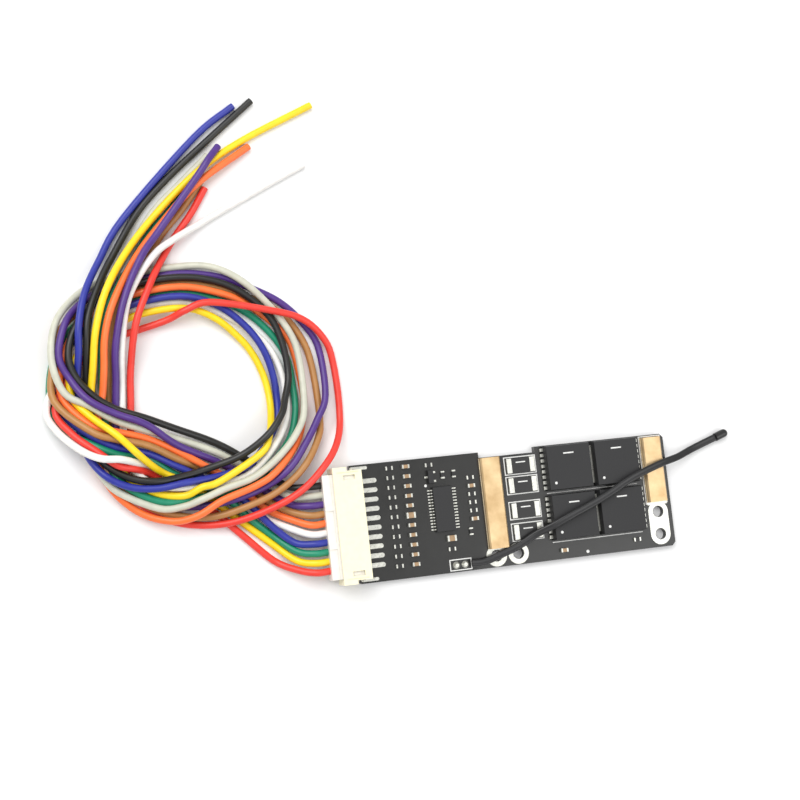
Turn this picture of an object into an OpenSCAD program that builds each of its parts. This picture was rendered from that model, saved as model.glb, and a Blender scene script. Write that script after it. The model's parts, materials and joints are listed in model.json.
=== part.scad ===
// Battery management board with its balance harness and temperature probe.
// Millimetres, +Z up. The board lies flat with its underside at z = 0, its connector end towards -X
// and its notched edge towards +Y. The origin is at the middle of the board and header, at the base.

/* [Circuit board] */
// Length of the board, from the connector end to the far end
pcb_l = 72.8; // [72.6:0.1:76]
// Width of the board
pcb_w = 25.2; // [25.2:0.1:27]
// Thickness of the board
pcb_t = 1.6; // [1:0.1:2.4]
// Chamfer of the two far corners
corner_chamfer = 0.8; // [0.3:0.1:1.2]
// Length of the notch in the +Y edge
notch_l = 13; // [10:0.5:13.5]
// Depth of the notch
notch_d = 1.2; // [0.6:0.1:1.5]

/* [Terminals] */
// Bore of the battery and pack terminal holes
hole_d = 2.6; // [2:0.1:2.8]
// Distance between the two holes of a terminal
hole_pitch = 5; // [4.9:0.1:5.2]
// Width of the tinned ring around a hole
land_rim = 1.05; // [0.8:0.05:1.1]
// Thickness of a tinned land
land_t = 0.1; // [0.05:0.05:0.2]

/* [Bus bars] */
// Width of a copper bus bar
bar_w = 4.5; // [4:0.1:4.6]
// Height of a copper bus bar
bar_h = 1.2; // [0.8:0.1:2]
// Length of the battery bar
battery_bar_l = 19.8; // [16:0.1:20]
// Length of the pack bar
pack_bar_l = 14.5; // [12:0.1:14.6]
// Chamfer along the long top edges of a bar
bar_chamfer = 0.3; // [0.1:0.05:0.5]

/* [Header] */
// Number of ways
ways = 10; // [8:1:10]
// Distance between two ways
pitch = 2; // [2:0.01:2.02]
// Depth of the header housing, mouth to back
header_d = 6.2; // [6:0.1:7]
// Height of the header housing above the board
header_h = 5.4; // [5.2:0.1:6]
// Width of the housing beyond the end contacts, on each side
header_side = 3.25; // [3.1:0.05:3.3]
// How far the mouth stands out from the end of the board
header_overhang = 4.8; // [4.2:0.1:5]
// Thickness of the back wall
header_back = 1.2; // [0.8:0.1:1.4]
// Length of a latch window in the roof
window_l = 2.6; // [1.5:0.1:3]
// Width of a latch window
window_w = 1; // [0.6:0.1:1.2]
// Width of a contact
contact_w = 0.5; // [0.4:0.05:0.6]

/* [Plug] */
// Height of the plug
plug_h = 4.1; // [3.8:0.1:4.4]
// Width of the plug beyond the end ways, on each side
plug_side = 1.95; // [1.8:0.05:2]
// How far the plug stands out of the header
plug_proud = 2.2; // [1.5:0.1:3]
// Play between plug and header on each side
plug_fit = 0.15; // [0.1:0.05:0.3]
// Size of a terminal cavity
cavity = 1.5; // [1.4:0.05:1.6]

/* [Leads] */
// Outside diameter of a lead
lead_d = 1.5; // [1.2:0.1:1.5]
// Width of the twin lead of the probe
twin_w = 1.6; // [1.2:0.1:1.8]
// Thickness of the twin lead
twin_t = 0.8; // [0.6:0.05:0.9]
// Diameter of the probe's bead
bead_d = 1.9; // [1.6:0.1:2.2]
// Length of the probe's bead
bead_l = 3.2; // [2.4:0.1:4]

/* [Power transistors] */
// Length of the moulded body, along the board
fet_l = 10.4; // [10:0.1:10.5]
// Width of the moulded body
fet_w = 9.9; // [9.5:0.1:10.1]
// Height of the moulded body
fet_h = 2.3; // [2:0.1:2.5]
// Gap between the bodies of two facing transistors
fet_gap = 0.9; // [0.8:0.1:1]
// Distance between the middles of the two rows
fet_row_pitch = 10.8; // [10.7:0.1:10.9]
// Number of source leads
fet_leads = 8; // [6:1:8]
// Distance between source leads
fet_lead_pitch = 1.2; // [1.1:0.01:1.2]

/* [Shunts] */
// Length of a shunt resistor
shunt_l = 6.4; // [6:0.1:6.5]
// Width of a shunt resistor
shunt_w = 3.2; // [3:0.1:3.3]
// Height of a shunt resistor
shunt_h = 0.65; // [0.5:0.05:1]
// Length of a shunt's end terminal
shunt_end = 1.1; // [0.8:0.1:1.3]

/* [Control chip] */
// Length of the chip's body
chip_l = 9.7; // [9.5:0.1:9.8]
// Width of the chip's body
chip_w = 4.4; // [4.2:0.1:4.5]
// Height of the chip's body
chip_h = 1; // [0.8:0.05:1.2]
// Leads on each side
chip_leads = 14; // [12:1:14]
// Distance between leads
chip_lead_pitch = 0.65; // [0.65:0.01:0.66]

/* [Small parts] */
// Length of a small chip resistor or capacitor
chip_part_l = 1.6; // [1.4:0.05:1.7]
// Width of a small chip resistor or capacitor
chip_part_w = 0.8; // [0.7:0.05:0.9]
// Height of a chip resistor
resistor_h = 0.45; // [0.35:0.05:0.6]
// Height of a small chip capacitor
capacitor_h = 0.8; // [0.6:0.05:0.9]
// Distance between two rows of the input filter
filter_pitch = 2.1; // [2.05:0.01:2.12]

/* [Hidden] */
$fn = 48;
eps = 0.01;

// Where the part's origin lies on the board, from the connector end and from the lower edge.
mid_x = (pcb_l - header_overhang) / 2;
mid_y = pcb_w / 2;

// Terminals.
land_d = hole_d + 2 * land_rim;
edge_gap = 0.15;
hole_inset = 1.6;
row_y = edge_gap + land_d / 2;

// Along the board the banks stand one beside another, from the far end back to the control part.
far_margin = 1.1;
bar_clear = 1;
bank_clear = 1.6;
fet_lead_l = 0.7;
pack_bar_x = pcb_l - far_margin - bar_w;
fet_x0 = pack_bar_x - bar_clear - fet_lead_l - 2 * fet_l - fet_gap;
shunt_x = fet_x0 - fet_lead_l - bank_clear - shunt_l / 2;
battery_bar_x = shunt_x - shunt_l / 2 - bank_clear - bar_w;
battery_holes = [for (i = [0, 1]) [battery_bar_x + hole_inset + i * hole_pitch, row_y]];
pack_x = pack_bar_x + bar_w / 2;
pack_row_y = 2.9;
pack_holes = [for (i = [0, 1]) [pack_x, pack_row_y + i * hole_pitch]];
battery_bar_y = pcb_w - notch_d - edge_gap - battery_bar_l;
pack_bar_margin = 0.6;
pack_bar_y = pcb_w - pack_bar_margin - pack_bar_l;
land_top = pcb_t + land_t;
probe_hole_d = 0.9;
probe_pitch = 2;
probe_holes = [for (i = [0, 1]) [battery_bar_x - 7.7 + i * probe_pitch, 1.5]];

// Header and plug, both about the row of contacts.
header_w = (ways - 1) * pitch + 2 * header_side;
header_step = 0.8;
shoulder_l = 3.2;
mouth_x = -header_overhang;
back_x = mouth_x + header_d;
way_y = [for (i = [0 : ways - 1]) mid_y + (ways - 1) * pitch / 2 - i * pitch];
entry_z = pcb_t + header_h / 2;
plug_w = (ways - 1) * pitch + 2 * plug_side;
cavity_floor_x = back_x - header_back;
plug_tip_x = cavity_floor_x - plug_fit;
plug_rear_x = mouth_x - plug_proud;
plug_l = plug_tip_x - plug_rear_x;
plug_rear_wall = 0.8;
key_w = 1.2;
key_h = 0.35;
contact_t = 0.5;
contact_reach = 2.2;
slot_fit = 0.04;
pad_w = 1;
pad_end_x = 5.7;
leg_gap = 0.2;
pin_l = 3.4;
tab_x = 0.4;
tab_t = 0.3;
tab_h = 2.6;
tab_l = 2.4;
tab_foot = 0.75;
tab_land_end = 3.6;
tab_land_w = 0.7;
rib_y = 8;
rib_w = 1.1;
grip_depth = 0.25;
grip_wall = 0.5;
crimp_l = 5;
crimp_floor = 0.8;

// Power transistors.
fet_margin = 0.2;
fet_top_y = pcb_w - fet_margin - fet_w / 2;
fet_lead_w = 0.7;
fet_metal_t = 0.5;
fet_parting_h = 1;
fet_draft = 0.18;
fet_tab_w = 8.3;
fet_tab_l = (fet_gap - 0.1) / 2;

// Each transistor: middle of its body and the turn of its leads.
fet_places = [for (row = [0, 1]) for (col = [0, 1])
    [fet_x0 + fet_l / 2 + col * (fet_l + fet_gap), fet_top_y - row * fet_row_pitch, col * 180]];

// Shunts, from the notch down.
shunt_y = [21.5, 17.2, 11.7, 7];

// Control chip.
chip_x = battery_bar_x - 9.2;
chip_y = 13.85;
chip_standoff = 0.1;
gull_reach = 1;
gull_t = 0.15;
chip_leg_w = 0.24;
chip_draft = 0.08;

// Small transistor.
sot_x = battery_bar_x - 11.4;
sot_y = 21;
sot_l = 2.9;
sot_w = 1.3;
sot_h = 1;
sot_standoff = 0.05;
sot_pitch = 1.9;
sot_reach = 0.6;
sot_leg_w = 0.4;
sot_leg_t = 0.13;

// Input filter beside the header, and the other chip parts beside the chip: [x, y, turn].
resistor_x = 8.7;
capacitor_x = 12.3;
side_x = battery_bar_x - 2.5;
filter_y = [for (i = [0 : 10]) 23.8 - i * filter_pitch];
side_pitch = 1.79;
side_y = [for (i = [0 : 5]) 20 - i * side_pitch];
resistor_places = concat(
    [for (y = filter_y) [resistor_x, y, 0]],
    [for (i = [0, 2, 3, 4]) [side_x, side_y[i], 0]],
    [[chip_x - 2.3, 23.6, 0], [chip_x + 0.6, 21.2, 90], [chip_x + 3.1, 21.2, 90],
     [chip_x + 0.9, 5.1, 0], [side_x - 1.1, 8.4, 90], [fet_x0 + 19.8, 2.3, 0]]);
capacitor_places = concat(
    [for (i = [0 : 10]) if (i != 5) [capacitor_x, filter_y[i], 0]],
    [for (i = [1, 5]) [side_x, side_y[i], 0]],
    [[fet_x0 + 2.3, 1.9, 0]]);
big_capacitor_places = [[capacitor_x, filter_y[5], 0], [chip_x + 1, 7.4, 0]];
big_part_l = 2;
big_part_w = 1.25;
big_part_h = 0.9;
cap_share = 0.2;
joint_d = 1.6;
joint_top_d = 0.8;
joint_h = 0.6;

// How far a lead runs straight out of the plug.
lead_straight = 3;

// Routes of the ten leads after they leave the plug, in the part's frame: [x, y, lift off the table].
// Each goes left under its own second pass, up round a narrow place, over the top of the loop, back
// below the plug, round a second narrow place and up across the loop to its free end.
routes = [
    // black
    [[-47.5, 9.5, 2], [-52, 13, 0], [-56, 16.5, 0], [-62, 20.5, 0], [-70, 24, 2], [-76, 26.5, 4.5],
     [-82, 29, 4.5], [-86.5, 32.5, 4.5], [-89.5, 37, 4.5], [-90, 41.5, 4.5], [-88, 46.5, 4],
     [-84, 51, 2], [-76, 54.5, 1.5], [-66, 55.5, 1.5], [-58, 54, 1.5], [-52, 50.5, 1.5],
     [-47.5, 45.5, 1.5], [-45.5, 39.5, 1.5], [-45, 33, 1.5], [-46.5, 28, 3], [-48, 24.5, 4.8],
     [-51.5, 20.5, 5.6], [-57, 17, 4], [-64, 15, 3], [-70, 13.8, 3.5], [-75, 13.4, 4.5],
     [-80, 14.5, 4.5], [-84.5, 17.5, 4.3], [-87, 21.5, 2.8], [-87.8, 26, 1.5], [-87.3, 31, 1.3],
     [-86.8, 36.5, 2.6], [-86.3, 42, 4.8], [-85.5, 48, 5.3], [-82.5, 55, 3.5], [-79, 61, 1.5],
     [-73, 70, 0], [-66, 77, 0], [-57, 84.5, 0], [-46.5, 93, 0]],
    // grey
    [[-47.5, 7.5, 2], [-52, 11, 0], [-56, 14.5, 0], [-62, 18.5, 0], [-70, 22, 1], [-76, 24, 4.5],
     [-82, 26.5, 4.5], [-87, 30, 4.8], [-91.6, 33, 4.6], [-93.5, 40, 4.5], [-92, 47.5, 3],
     [-88, 52.5, 1], [-83, 55.5, 0], [-75, 57.3, 0], [-66, 58, 0], [-61, 57.8, 0.8],
     [-57, 56.5, 1.5], [-53, 54, 1.5], [-49, 50, 1.5], [-45, 44.5, 1.5], [-42.5, 38, 1.5],
     [-42.5, 26, 2.5], [-45, 20.5, 4], [-49.5, 15.8, 4.5], [-55, 12.2, 4.5], [-61, 10.5, 4.5],
     [-66, 8.8, 4.5], [-70, 7.7, 3.2], [-75, 7.9, 3], [-82.7, 12, 3], [-86, 16.3, 2.8],
     [-87.3, 20.5, 1.2], [-87, 25.5, 0], [-85.5, 36, 1.5], [-85, 41, 4], [-84, 47, 4.3],
     [-81.4, 53, 3.8], [-75.5, 62, 1], [-69.7, 70, 0], [-63.7, 75.5, 0], [-57, 81.5, 0]],
    // purple
    [[-47.5, 5.8, 2], [-52, 9, 0], [-56, 12.5, 0], [-62, 16.5, 0], [-70, 20.5, 3], [-76, 25, 6],
     [-82, 27.8, 6], [-87, 31, 6], [-90, 35.3, 4.6], [-92, 40.5, 4.5], [-90.2, 47, 4],
     [-87, 51, 1.5], [-82.5, 53.7, 0], [-76, 55.5, 0], [-66, 56.5, 0], [-58, 55.5, 0], [-52, 53, 0],
     [-45, 49, 0], [-40, 43.5, 0], [-37.5, 38, 0], [-37.5, 28, 1.6], [-40, 23, 2.5],
     [-43, 18.5, 3.5], [-47, 13.5, 4], [-52, 10.3, 3], [-59, 8.1, 3.1], [-66, 7.4, 1.8],
     [-72, 8.3, 1.5], [-77.5, 11, 1.5], [-81.5, 16, 1.5], [-82, 22, 1.2], [-81.6, 28, 1.5],
     [-81, 35, 3], [-80.5, 42, 5.3], [-78, 51, 6], [-73.7, 59.5, 4.8], [-69, 65.5, 3.3],
     [-60, 76.5, 3], [-57.3, 80, 2.8], [-54.8, 83, 1.2]],
    // brown
    [[-47.5, 4.2, 2], [-52, 7, 0], [-56, 10.5, 0], [-62, 14, 0], [-66, 15.7, 0], [-70, 17.6, 2],
     [-76, 20.8, 4.8], [-82, 22.5, 6], [-87, 24.6, 6], [-93.7, 31.5, 3.6], [-93.3, 39, 3],
     [-91.5, 45.5, 2.2], [-88, 49.2, 0.8], [-84, 50.8, 0], [-76, 53.5, 0], [-66, 54.5, 0],
     [-58, 53, 0], [-52, 50.7, 0], [-45.5, 47, 0], [-41.3, 41.3, 0], [-39.5, 35, 0],
     [-39, 23.5, 0.5], [-40.5, 18.5, 2.5], [-44.5, 13, 4.3], [-50, 8.8, 3.3], [-57, 6.3, 3],
     [-64, 5, 1.8], [-71, 6, 1.3], [-77, 8.6, 1.5], [-81.8, 12.8, 1.5], [-83.7, 18, 0.5],
     [-83.3, 25, 0], [-82.7, 32, 0.5], [-82.2, 38, 2.5], [-81.7, 43, 3.8], [-79.5, 50, 4],
     [-73.5, 58, 2], [-68.7, 64.7, 0], [-63.8, 70, 0], [-58.8, 76.3, 0]],
    // orange
    [[-47.5, 2.5, 2], [-52, 5, 0.5], [-56, 8.5, 1.5], [-60, 12.5, 1.5], [-65, 16, 1.5],
     [-70, 19.3, 2], [-76, 22.3, 4], [-82, 24.2, 4.5], [-87, 26, 4.5], [-92, 32, 3], [-91.6, 39, 3],
     [-88.5, 45.2, 2.7], [-84, 49.4, 1.5], [-76, 52.5, 1.5], [-66, 53.5, 1.5], [-58, 51.7, 1.3],
     [-52.5, 49.3, 0.2], [-47, 44.7, 0], [-43.5, 40, 0], [-42, 29.5, 0], [-42.6, 24, 0.5],
     [-45, 18.3, 2.5], [-50.3, 12.8, 4.5], [-55, 10.3, 4.5], [-62, 8.1, 4.5], [-67, 5.6, 4],
     [-72, 4.9, 2.5], [-78, 7, 1.5], [-83, 11.5, 1.5], [-85.6, 16.5, 1.4], [-85.8, 20.5, 1],
     [-85.7, 24, 1.3], [-85.2, 28, 2.9], [-84, 32, 3.1], [-83.3, 37, 4.6], [-82.5, 44, 6],
     [-80, 51, 6], [-74.5, 60, 3.3], [-68, 67.5, 1.5], [-60, 75.2, 1.7], [-48, 83, 0]],
    // white
    [[-47.5, 0.5, 2], [-52, 3, 0], [-56, 5.5, 0], [-62, 9, 0], [-67, 11, 0], [-71, 13.2, 0],
     [-75, 16.5, 1.2], [-78.5, 17.5, 4.8], [-82, 18.4, 7.6], [-86, 19, 7.5], [-90, 21.5, 5.5],
     [-94, 26, 2.8], [-95.3, 30.5, 1.5], [-91.6, 38, 1.5], [-88, 42.3, 1.3], [-83, 45.8, 0],
     [-76, 49.5, 0], [-66, 50.5, 0], [-59, 48.2, 0], [-53, 44.4, 0], [-48.7, 40, 0],
     [-46.3, 34.5, 0], [-45.8, 29, 0.5], [-46.7, 23.5, 2], [-49.8, 18.3, 3], [-55, 13.3, 3],
     [-62, 11.4, 3], [-69, 11.5, 3], [-75, 12.6, 3], [-78.8, 15.8, 3], [-80.3, 20.5, 2],
     [-80.3, 27, 1.5], [-79.8, 34, 1.5], [-79.3, 41, 3.8], [-77.5, 50, 4.5], [-74.3, 56, 3.9],
     [-70.5, 60.5, 3.4], [-66.5, 63.3, 2.2], [-58, 68, 0], [-44, 75, 0], [-36.5, 78.5, 0]],
    // blue
    [[-47.5, -2.3, 2.2], [-51.5, 1.3, 1.5], [-55.5, 6, 1.5], [-59, 9.3, 1.5], [-64, 12.5, 1.5],
     [-70, 16, 1.5], [-76, 19.3, 3.3], [-82, 21, 4.5], [-87, 23.8, 4.5], [-91, 27.5, 2],
     [-92.5, 31.5, 0], [-92, 38, 0], [-89.3, 43.5, 0.5], [-84, 47.5, 1.5], [-76, 50.5, 1.5],
     [-66, 51.5, 1.5], [-58.5, 49, 1.5], [-53.3, 44.5, 1.5], [-50, 39.5, 1.5], [-48.2, 34, 0.6],
     [-47.7, 28, 0], [-48.5, 23.5, 1], [-51, 19.5, 2.3], [-55.5, 14.9, 3], [-62, 13.2, 3],
     [-69, 12.5, 4.4], [-75, 11.9, 4.5], [-80.5, 12.8, 4.5], [-85.3, 15.7, 4.8], [-88.3, 20.5, 2.6],
     [-89.3, 26, 1.5], [-89, 31, 1.5], [-88.7, 36, 2.8], [-88, 41, 4.8], [-87.5, 46.5, 5.8],
     [-85.7, 53, 4.3], [-82, 60, 1.5], [-76, 69, 0], [-59.5, 85.5, 0], [-50.5, 92, 0]],
    // green
    [[-47.5, -4, 2], [-52, 0, 0], [-56, 3.6, 0.7], [-59.5, 7.3, 1.4], [-62.5, 9.8, 1.5],
     [-66, 12, 1], [-71, 14.8, 0.3], [-76, 18.3, 2.3], [-82, 19.5, 4.5], [-87, 22, 4.5],
     [-92.5, 26, 1.6], [-94.4, 30.5, 0], [-93.7, 38, 0], [-90.7, 44.7, 0], [-84.5, 49, 0],
     [-76, 51.5, 0], [-66, 52.5, 0], [-58, 50.3, 0], [-52, 47, 0], [-47.3, 42, 0], [-44.7, 37, 0],
     [-44, 31, 0], [-44.2, 25.5, 1], [-46, 20, 2], [-50, 15.3, 3], [-55, 11.6, 3], [-62, 9.8, 3],
     [-69, 9, 2.5], [-75, 9.4, 3], [-81.6, 13.5, 3], [-84, 18.5, 2.1], [-83.9, 25, 1.3],
     [-83.9, 32, 1.5], [-83.6, 38, 3], [-83, 44, 4.3], [-80.7, 51, 4.3], [-75.3, 59, 2],
     [-71, 65.3, 0], [-66, 70.3, 0], [-61.8, 75.5, 0]],
    // yellow
    [[-47.5, -6, 2], [-52, -2, 0], [-62, 7, 0.3], [-65, 9.7, 1.5], [-70, 13.2, 1.7], [-73, 14.9, 2],
     [-75.5, 16.6, 4.3], [-78.5, 19.3, 7], [-82.5, 23.6, 7.5], [-86.5, 27.3, 5.2],
     [-89.8, 31.3, 3.2], [-90.4, 35, 3], [-89.4, 39, 2.9], [-86.3, 42.3, 2.6], [-83, 44.6, 1.6],
     [-76, 48, 1.5], [-66, 49, 1.5], [-59.5, 46.5, 1.5], [-54.5, 42, 0.5], [-51.7, 38, 0],
     [-49.9, 33, 0], [-49.3, 28, 0.3], [-49.8, 24, 2], [-50.8, 20.5, 3.9], [-53, 17, 4.6],
     [-62, 12.1, 4.6], [-66, 11.2, 4.6], [-69.5, 9.9, 3.4], [-75, 11, 3], [-80.6, 14.8, 3],
     [-82.7, 19, 3], [-86, 23.5, 3], [-87, 28, 3], [-86.2, 33, 3.1], [-85.4, 38, 4.8],
     [-84.3, 45, 6.2], [-81.5, 53, 6], [-76.5, 61, 3.5], [-69.5, 69, 1.5], [-60, 77.5, 1.5],
     [-50, 84, 0], [-33.5, 91.5, 0]],
    // red
    [[-47.5, -8, 2], [-52, -5.5, 0], [-58, 0.5, 0], [-63, 5.5, 0], [-68, 9, 0], [-71.5, 11.6, 0],
     [-75.5, 15, 1.2], [-79, 16.3, 4.6], [-82.5, 17.3, 6], [-86.5, 20.6, 5.8], [-91, 24.8, 4.3],
     [-93.6, 30, 1.8], [-89.5, 37.5, 1.5], [-85.7, 41, 0.8], [-82, 43.5, 0], [-70, 46.5, 0.8],
     [-65.5, 48.2, 3], [-60, 49.5, 3.3], [-47.5, 46.8, 3.3], [-41, 44.5, 3], [-36.7, 40.5, 1.5],
     [-34.8, 35.5, 0], [-34.5, 24, 0], [-36.5, 17.5, 3], [-40.5, 12.5, 5], [-46, 8, 5],
     [-53, 5, 3.5], [-61, 3.3, 1.5], [-69, 4, 0], [-75, 6.5, 0], [-79.5, 11, 0], [-80.5, 16.5, 0],
     [-79, 23, 0], [-78.2, 31, 0.5], [-77.7, 37, 1.5], [-76, 46, 4.5], [-72.3, 54, 3.6],
     [-69.7, 58.5, 1.6], [-66, 64, 0], [-61.8, 69.2, 0], [-58.3, 74.5, 0]],
];

// The probe's twin lead, from its joints over the board and down to the table: [x, y, z].
twin_route = [
    [-9.5, -11, 2.6], [-6.5, -11, 2.6], [-3, -10, 2.8], [1.5, -8.5, 3], [5.5, -6.5, 3.4],
    [9.5, -5, 4.4], [13, -3.5, 4.8], [19.5, -1, 4.8], [24, 1, 4.8], [28, 3, 4.8], [32, 4.5, 4.6],
    [37, 6, 4], [41.5, 7, 2.6], [46, 8.5, 1.2], [52, 10.5, 1]];

// ---------------------------------------------------------------- helpers

// Children drawn in the board's own frame: x from its connector end, y from its lower edge.
module on_board() {
    translate([-mid_x, -mid_y, 0]) children();
}

// A profile in the x-z plane pushed out along y, centred on y.
module along_y(w) {
    translate([0, w / 2, 0]) rotate([90, 0, 0]) linear_extrude(w) children();
}

// A profile in the y-z plane pushed out along x.
module along_x(l) {
    rotate([90, 0, 90]) linear_extrude(l) children();
}

// A slot-shaped outline between two points.
module slot_outline(a, b, d) {
    if (a == b) {
        translate(a) circle(d = d);
    } else {
        turn = atan2(b.y - a.y, b.x - a.x);
        translate(a) circle(d = d);
        translate(b) circle(d = d);
        translate(a) rotate(turn) translate([0, -d / 2]) square([norm(b - a), d]);
    }
}

// Side view of a moulded package: straight up to the parting line, then drafted.
module drafted_profile(span, h, foot, draft) {
    polygon([
        [-span / 2, 0], [span / 2, 0], [span / 2, foot],
        [span / 2 - draft, h], [draft - span / 2, h], [-span / 2, foot]]);
}

// A moulded package, l along x and w along y, drafted on all four sides above its parting line.
module moulded_body(l, w, h, foot, draft) {
    intersection() {
        along_y(w) drafted_profile(l, h, foot, draft);
        translate([-l / 2, 0, 0]) along_x(l) drafted_profile(w, h, foot, draft);
    }
}

// Side view of a gull-wing lead that leaves a body side at x = 0 and rests on z = 0.
module gull_profile(reach, t, exit_z) {
    knee = reach * 0.35;
    ankle = reach * 0.55;
    polygon([
        [0, exit_z], [knee, exit_z], [ankle, t], [reach, t],
        [reach, 0], [ankle - t, 0], [knee - t * 0.6, exit_z - t], [0, exit_z - t]]);
}

// ---------------------------------------------------------------- board

module pcb_outline() {
    difference() {
        polygon([
            [0, 0], [pcb_l - corner_chamfer, 0], [pcb_l, corner_chamfer],
            [pcb_l, pcb_w - corner_chamfer], [pcb_l - corner_chamfer, pcb_w], [0, pcb_w]]);
        translate([battery_bar_x, pcb_w - notch_d]) square([notch_l, notch_d + 1]);
    }
}

module pcb() {
    color([0.09, 0.09, 0.08]) on_board() difference() {
        linear_extrude(pcb_t) pcb_outline();
        for (p = concat(battery_holes, pack_holes))
            translate([p.x, p.y, -1]) cylinder(h = pcb_t + 2, d = hole_d);
        for (p = probe_holes)
            translate([p.x, p.y, -1]) cylinder(h = pcb_t + 2, d = probe_hole_d);
    }
}

// Tinned copper under the bars and around the terminal holes.
module terminal_lands() {
    color([0.86, 0.86, 0.8]) on_board() translate([0, 0, pcb_t]) linear_extrude(land_t) {
        difference() {
            union() {
                for (p = battery_holes) translate(p) circle(d = land_d);
                translate([battery_bar_x - 0.1, battery_bar_y - 0.6])
                    square([bar_w + 0.4, battery_bar_l + 0.6]);
            }
            for (p = battery_holes) translate(p) circle(d = hole_d);
        }
        difference() {
            union() {
                slot_outline(pack_holes[0], pack_holes[1], land_d);
                translate([pack_bar_x - 0.1, pack_bar_y - 0.6]) square([bar_w + 0.2, pack_bar_l + 0.6]);
            }
            for (p = pack_holes) translate(p) circle(d = hole_d);
        }
    }
}

module header_lands() {
    color([0.9, 0.9, 0.85]) on_board() translate([0, 0, pcb_t]) linear_extrude(land_t) {
        for (y = way_y)
            slot_outline([back_x + pad_w, y], [pad_end_x - pad_w / 2, y], pad_w);
        for (side = [-1, 1])
            slot_outline([tab_x, tab_y(side)], [tab_land_end, tab_y(side)], tab_land_w);
    }
}

// ---------------------------------------------------------------- bus bars

module bus_bar(l) {
    rotate([-90, 0, 0]) mirror([0, 1, 0]) linear_extrude(l)
        polygon([
            [0, 0], [bar_w, 0], [bar_w, bar_h - bar_chamfer], [bar_w - bar_chamfer, bar_h],
            [bar_chamfer, bar_h], [0, bar_h - bar_chamfer]]);
}

module bus_bar_battery() {
    color([0.8, 0.66, 0.44]) on_board()
        translate([battery_bar_x, battery_bar_y, land_top]) bus_bar(battery_bar_l);
}

module bus_bar_pack() {
    color([0.85, 0.72, 0.46]) on_board()
        translate([pack_bar_x, pack_bar_y, land_top]) bus_bar(pack_bar_l);
}

// ---------------------------------------------------------------- header

// Middle of a solder tab's foot, beside the stepped-in back of the housing.
function tab_y(side) = mid_y + side * (header_w / 2 - header_step / 2);

// Side view of a contact: the pin in the cavity, the bend behind the housing and the foot on its land.
module contact_profile() {
    leg_x = back_x + leg_gap;
    foot_x = leg_x + contact_reach;
    translate([cavity_floor_x - pin_l, entry_z - contact_t / 2])
        square([leg_x - cavity_floor_x + pin_l, contact_t]);
    polygon([
        [leg_x, entry_z - contact_t / 2], [leg_x, entry_z + contact_t / 2],
        [leg_x + contact_t * 0.7, entry_z + contact_t / 2], [leg_x + contact_t, entry_z],
        [leg_x + contact_t, land_top + contact_t * 1.4], [leg_x + contact_t * 1.4, land_top + contact_t],
        [foot_x, land_top + contact_t], [foot_x, land_top],
        [leg_x + contact_t * 0.3, land_top], [leg_x, land_top + contact_t * 0.3]]);
}

module header_contacts() {
    color([0.85, 0.8, 0.6]) on_board() for (y = way_y)
        translate([0, y, 0]) along_y(contact_w) contact_profile();
}

// Solder tabs: a plate against each end of the stepped-in back, with a foot on its land.
module header_tabs() {
    color([0.75, 0.72, 0.65]) on_board() for (side = [-1, 1])
        translate([tab_x, mid_y + side * (header_w / 2 - header_step), land_top])
            mirror([0, side < 0 ? 1 : 0, 0]) {
                cube([tab_l, tab_t, tab_h]);
                cube([tab_l, tab_foot, tab_t]);
            }
}

module header_plan() {
    translate([mouth_x, mid_y - header_w / 2]) square([header_d - shoulder_l, header_w]);
    translate([back_x - shoulder_l - eps, mid_y - header_w / 2 + header_step])
        square([shoulder_l + eps, header_w - 2 * header_step]);
}

module header_housing() {
    cavity_w = plug_w + 2 * plug_fit;
    cavity_h = plug_h + 2 * plug_fit;
    color([0.95, 0.93, 0.78]) on_board() difference() {
        // The back rests on the board; the overhanging mouth keeps the same underside.
        translate([0, 0, pcb_t]) linear_extrude(header_h) header_plan();
        // Room for the plug, open at the mouth.
        translate([mouth_x - 1, mid_y - cavity_w / 2, entry_z - cavity_h / 2])
            cube([cavity_floor_x - mouth_x + 1, cavity_w, cavity_h]);
        // Polarising slots in the floor of the mouth, for the plug's two keys.
        for (side = [-1, 1])
            translate([mouth_x - 1, mid_y + side * (plug_w / 2 - 3) - key_w / 2 - plug_fit,
                       entry_z - cavity_h / 2 - key_h])
                cube([4, key_w + 2 * plug_fit, key_h + 1]);
        // Latch windows in the roof.
        for (side = [-1, 1])
            translate([mouth_x + 2.1, mid_y + side * (plug_w / 2 - 0.9) - window_w / 2,
                       entry_z])
                cube([window_l, window_w, header_h]);
        // Slots for the contacts through the back wall.
        for (y = way_y)
            translate([cavity_floor_x - 1, y - contact_w / 2 - slot_fit,
                       entry_z - contact_t / 2 - slot_fit])
                cube([header_back + 2, contact_w + 2 * slot_fit, contact_t + 2 * slot_fit]);
        // Moulded step across the roof near each end.
        for (side = [-1, 1])
            translate([mouth_x + 0.8, mid_y + side * (plug_w / 2 + 0.15) - 0.1, pcb_t + header_h - 0.15])
                cube([header_d - 1.6, 0.2, 1]);
    }
}

// ---------------------------------------------------------------- plug

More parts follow.
